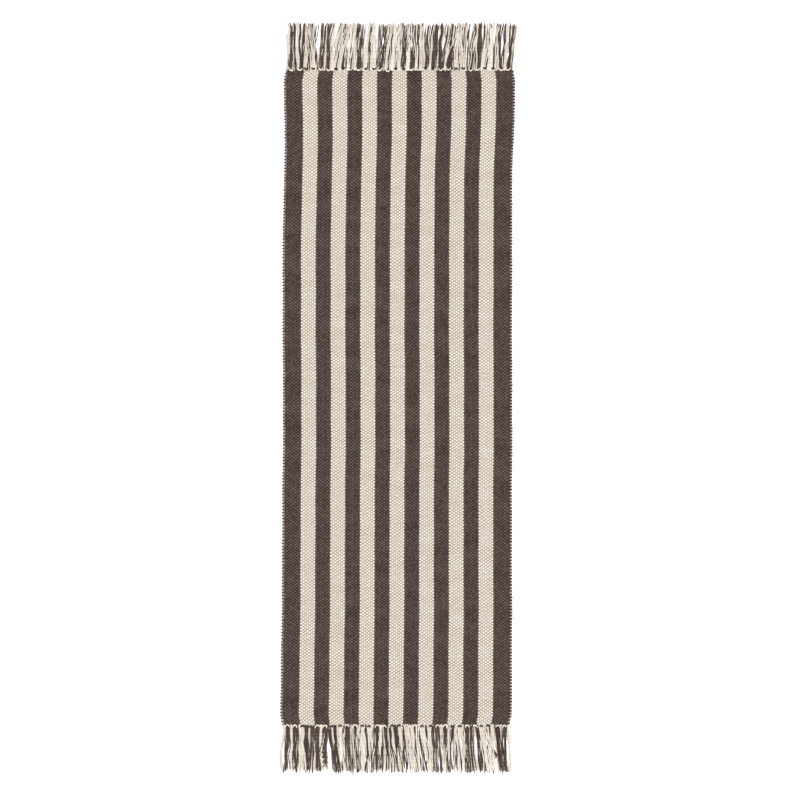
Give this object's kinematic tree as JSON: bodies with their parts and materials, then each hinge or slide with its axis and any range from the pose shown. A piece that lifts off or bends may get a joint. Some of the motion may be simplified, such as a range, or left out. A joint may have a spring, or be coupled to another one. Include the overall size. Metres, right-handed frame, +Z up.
{
  "type": "runner rug",
  "caption": "Long narrow double-faced woven runner rug with lengthwise stripes, hitched ends and a cord fringe, which folds in half across its width.",
  "frame": {"origin": "on the floor, under the middle of the rug", "axes": "+X across the rug, +Y along it towards the far end, +Z up, out of the face"},
  "size_m": [0.7, 2.2806, 0.0072],
  "materials": {
    "dark_warp": "dark brown cotton yarn, woven warp-faced, matt",
    "cream_warp": "cream cotton yarn, woven warp-faced, matt",
    "reverse_warp": "cream and dark brown cotton yarn in stripes opposite to the face's, matt",
    "weft": "thick cream cotton weft yarn, matt",
    "hitch_yarn": "cream and dark brown cotton warp ends, tied in half hitches",
    "fringe": "loose plied cotton cords, dark brown and cream mixed"
  },
  "bodies": {
    "near_cloth": {"stripe_01_dark_near": "dark_warp", "stripe_02_cream_near": "cream_warp", "stripe_03_dark_near": "dark_warp", "stripe_04_cream_near": "cream_warp", "stripe_05_dark_near": "dark_warp", "stripe_06_cream_near": "cream_warp", "stripe_07_dark_near": "dark_warp", "stripe_08_cream_near": "cream_warp", "stripe_09_dark_near": "dark_warp", "stripe_10_cream_near": "cream_warp", "stripe_11_dark_near": "dark_warp", "stripe_12_cream_near": "cream_warp", "stripe_13_dark_near": "dark_warp", "stripe_14_cream_near": "cream_warp", "stripe_15_dark_near": "dark_warp", "reverse_layer_near": "reverse_warp", "weft_near": "weft", "hitch_row_near": "hitch_yarn"},
    "far_cloth": {"stripe_01_dark_far": "dark_warp", "stripe_02_cream_far": "cream_warp", "stripe_03_dark_far": "dark_warp", "stripe_04_cream_far": "cream_warp", "stripe_05_dark_far": "dark_warp", "stripe_06_cream_far": "cream_warp", "stripe_07_dark_far": "dark_warp", "stripe_08_cream_far": "cream_warp", "stripe_09_dark_far": "dark_warp", "stripe_10_cream_far": "cream_warp", "stripe_11_dark_far": "dark_warp", "stripe_12_cream_far": "cream_warp", "stripe_13_dark_far": "dark_warp", "stripe_14_cream_far": "cream_warp", "stripe_15_dark_far": "dark_warp", "reverse_layer_far": "reverse_warp", "weft_far": "weft", "hitch_row_far": "hitch_yarn"},
    "near_fringe": {"tassels_near_01": "fringe", "tassels_near_02": "fringe", "tassels_near_03": "fringe", "tassels_near_04": "fringe", "tassels_near_05": "fringe", "tassels_near_06": "fringe", "tassels_near_07": "fringe", "tassels_near_08": "fringe", "tassels_near_09": "fringe", "tassels_near_10": "fringe"},
    "far_fringe": {"tassels_far_01": "fringe", "tassels_far_02": "fringe", "tassels_far_03": "fringe", "tassels_far_04": "fringe", "tassels_far_05": "fringe", "tassels_far_06": "fringe", "tassels_far_07": "fringe", "tassels_far_08": "fringe", "tassels_far_09": "fringe", "tassels_far_10": "fringe"}
  },
  "joints": [
    {"name": "fold_middle", "type": "hinge", "parent": "near_cloth", "child": "far_cloth", "pos_m": [0, 0, 0.0148], "axis": [1, 0, 0], "range_deg": [0, 180]},
    {"name": "near_fringe_flip", "type": "hinge", "parent": "near_cloth", "child": "near_fringe", "pos_m": [0, -1.01215, 0.007], "axis": [-1, 0, 0], "range_deg": [0, 180]},
    {"name": "far_fringe_flip", "type": "hinge", "parent": "far_cloth", "child": "far_fringe", "pos_m": [0, 1.01215, 0.007], "axis": [1, 0, 0], "range_deg": [0, 180]}
  ]
}
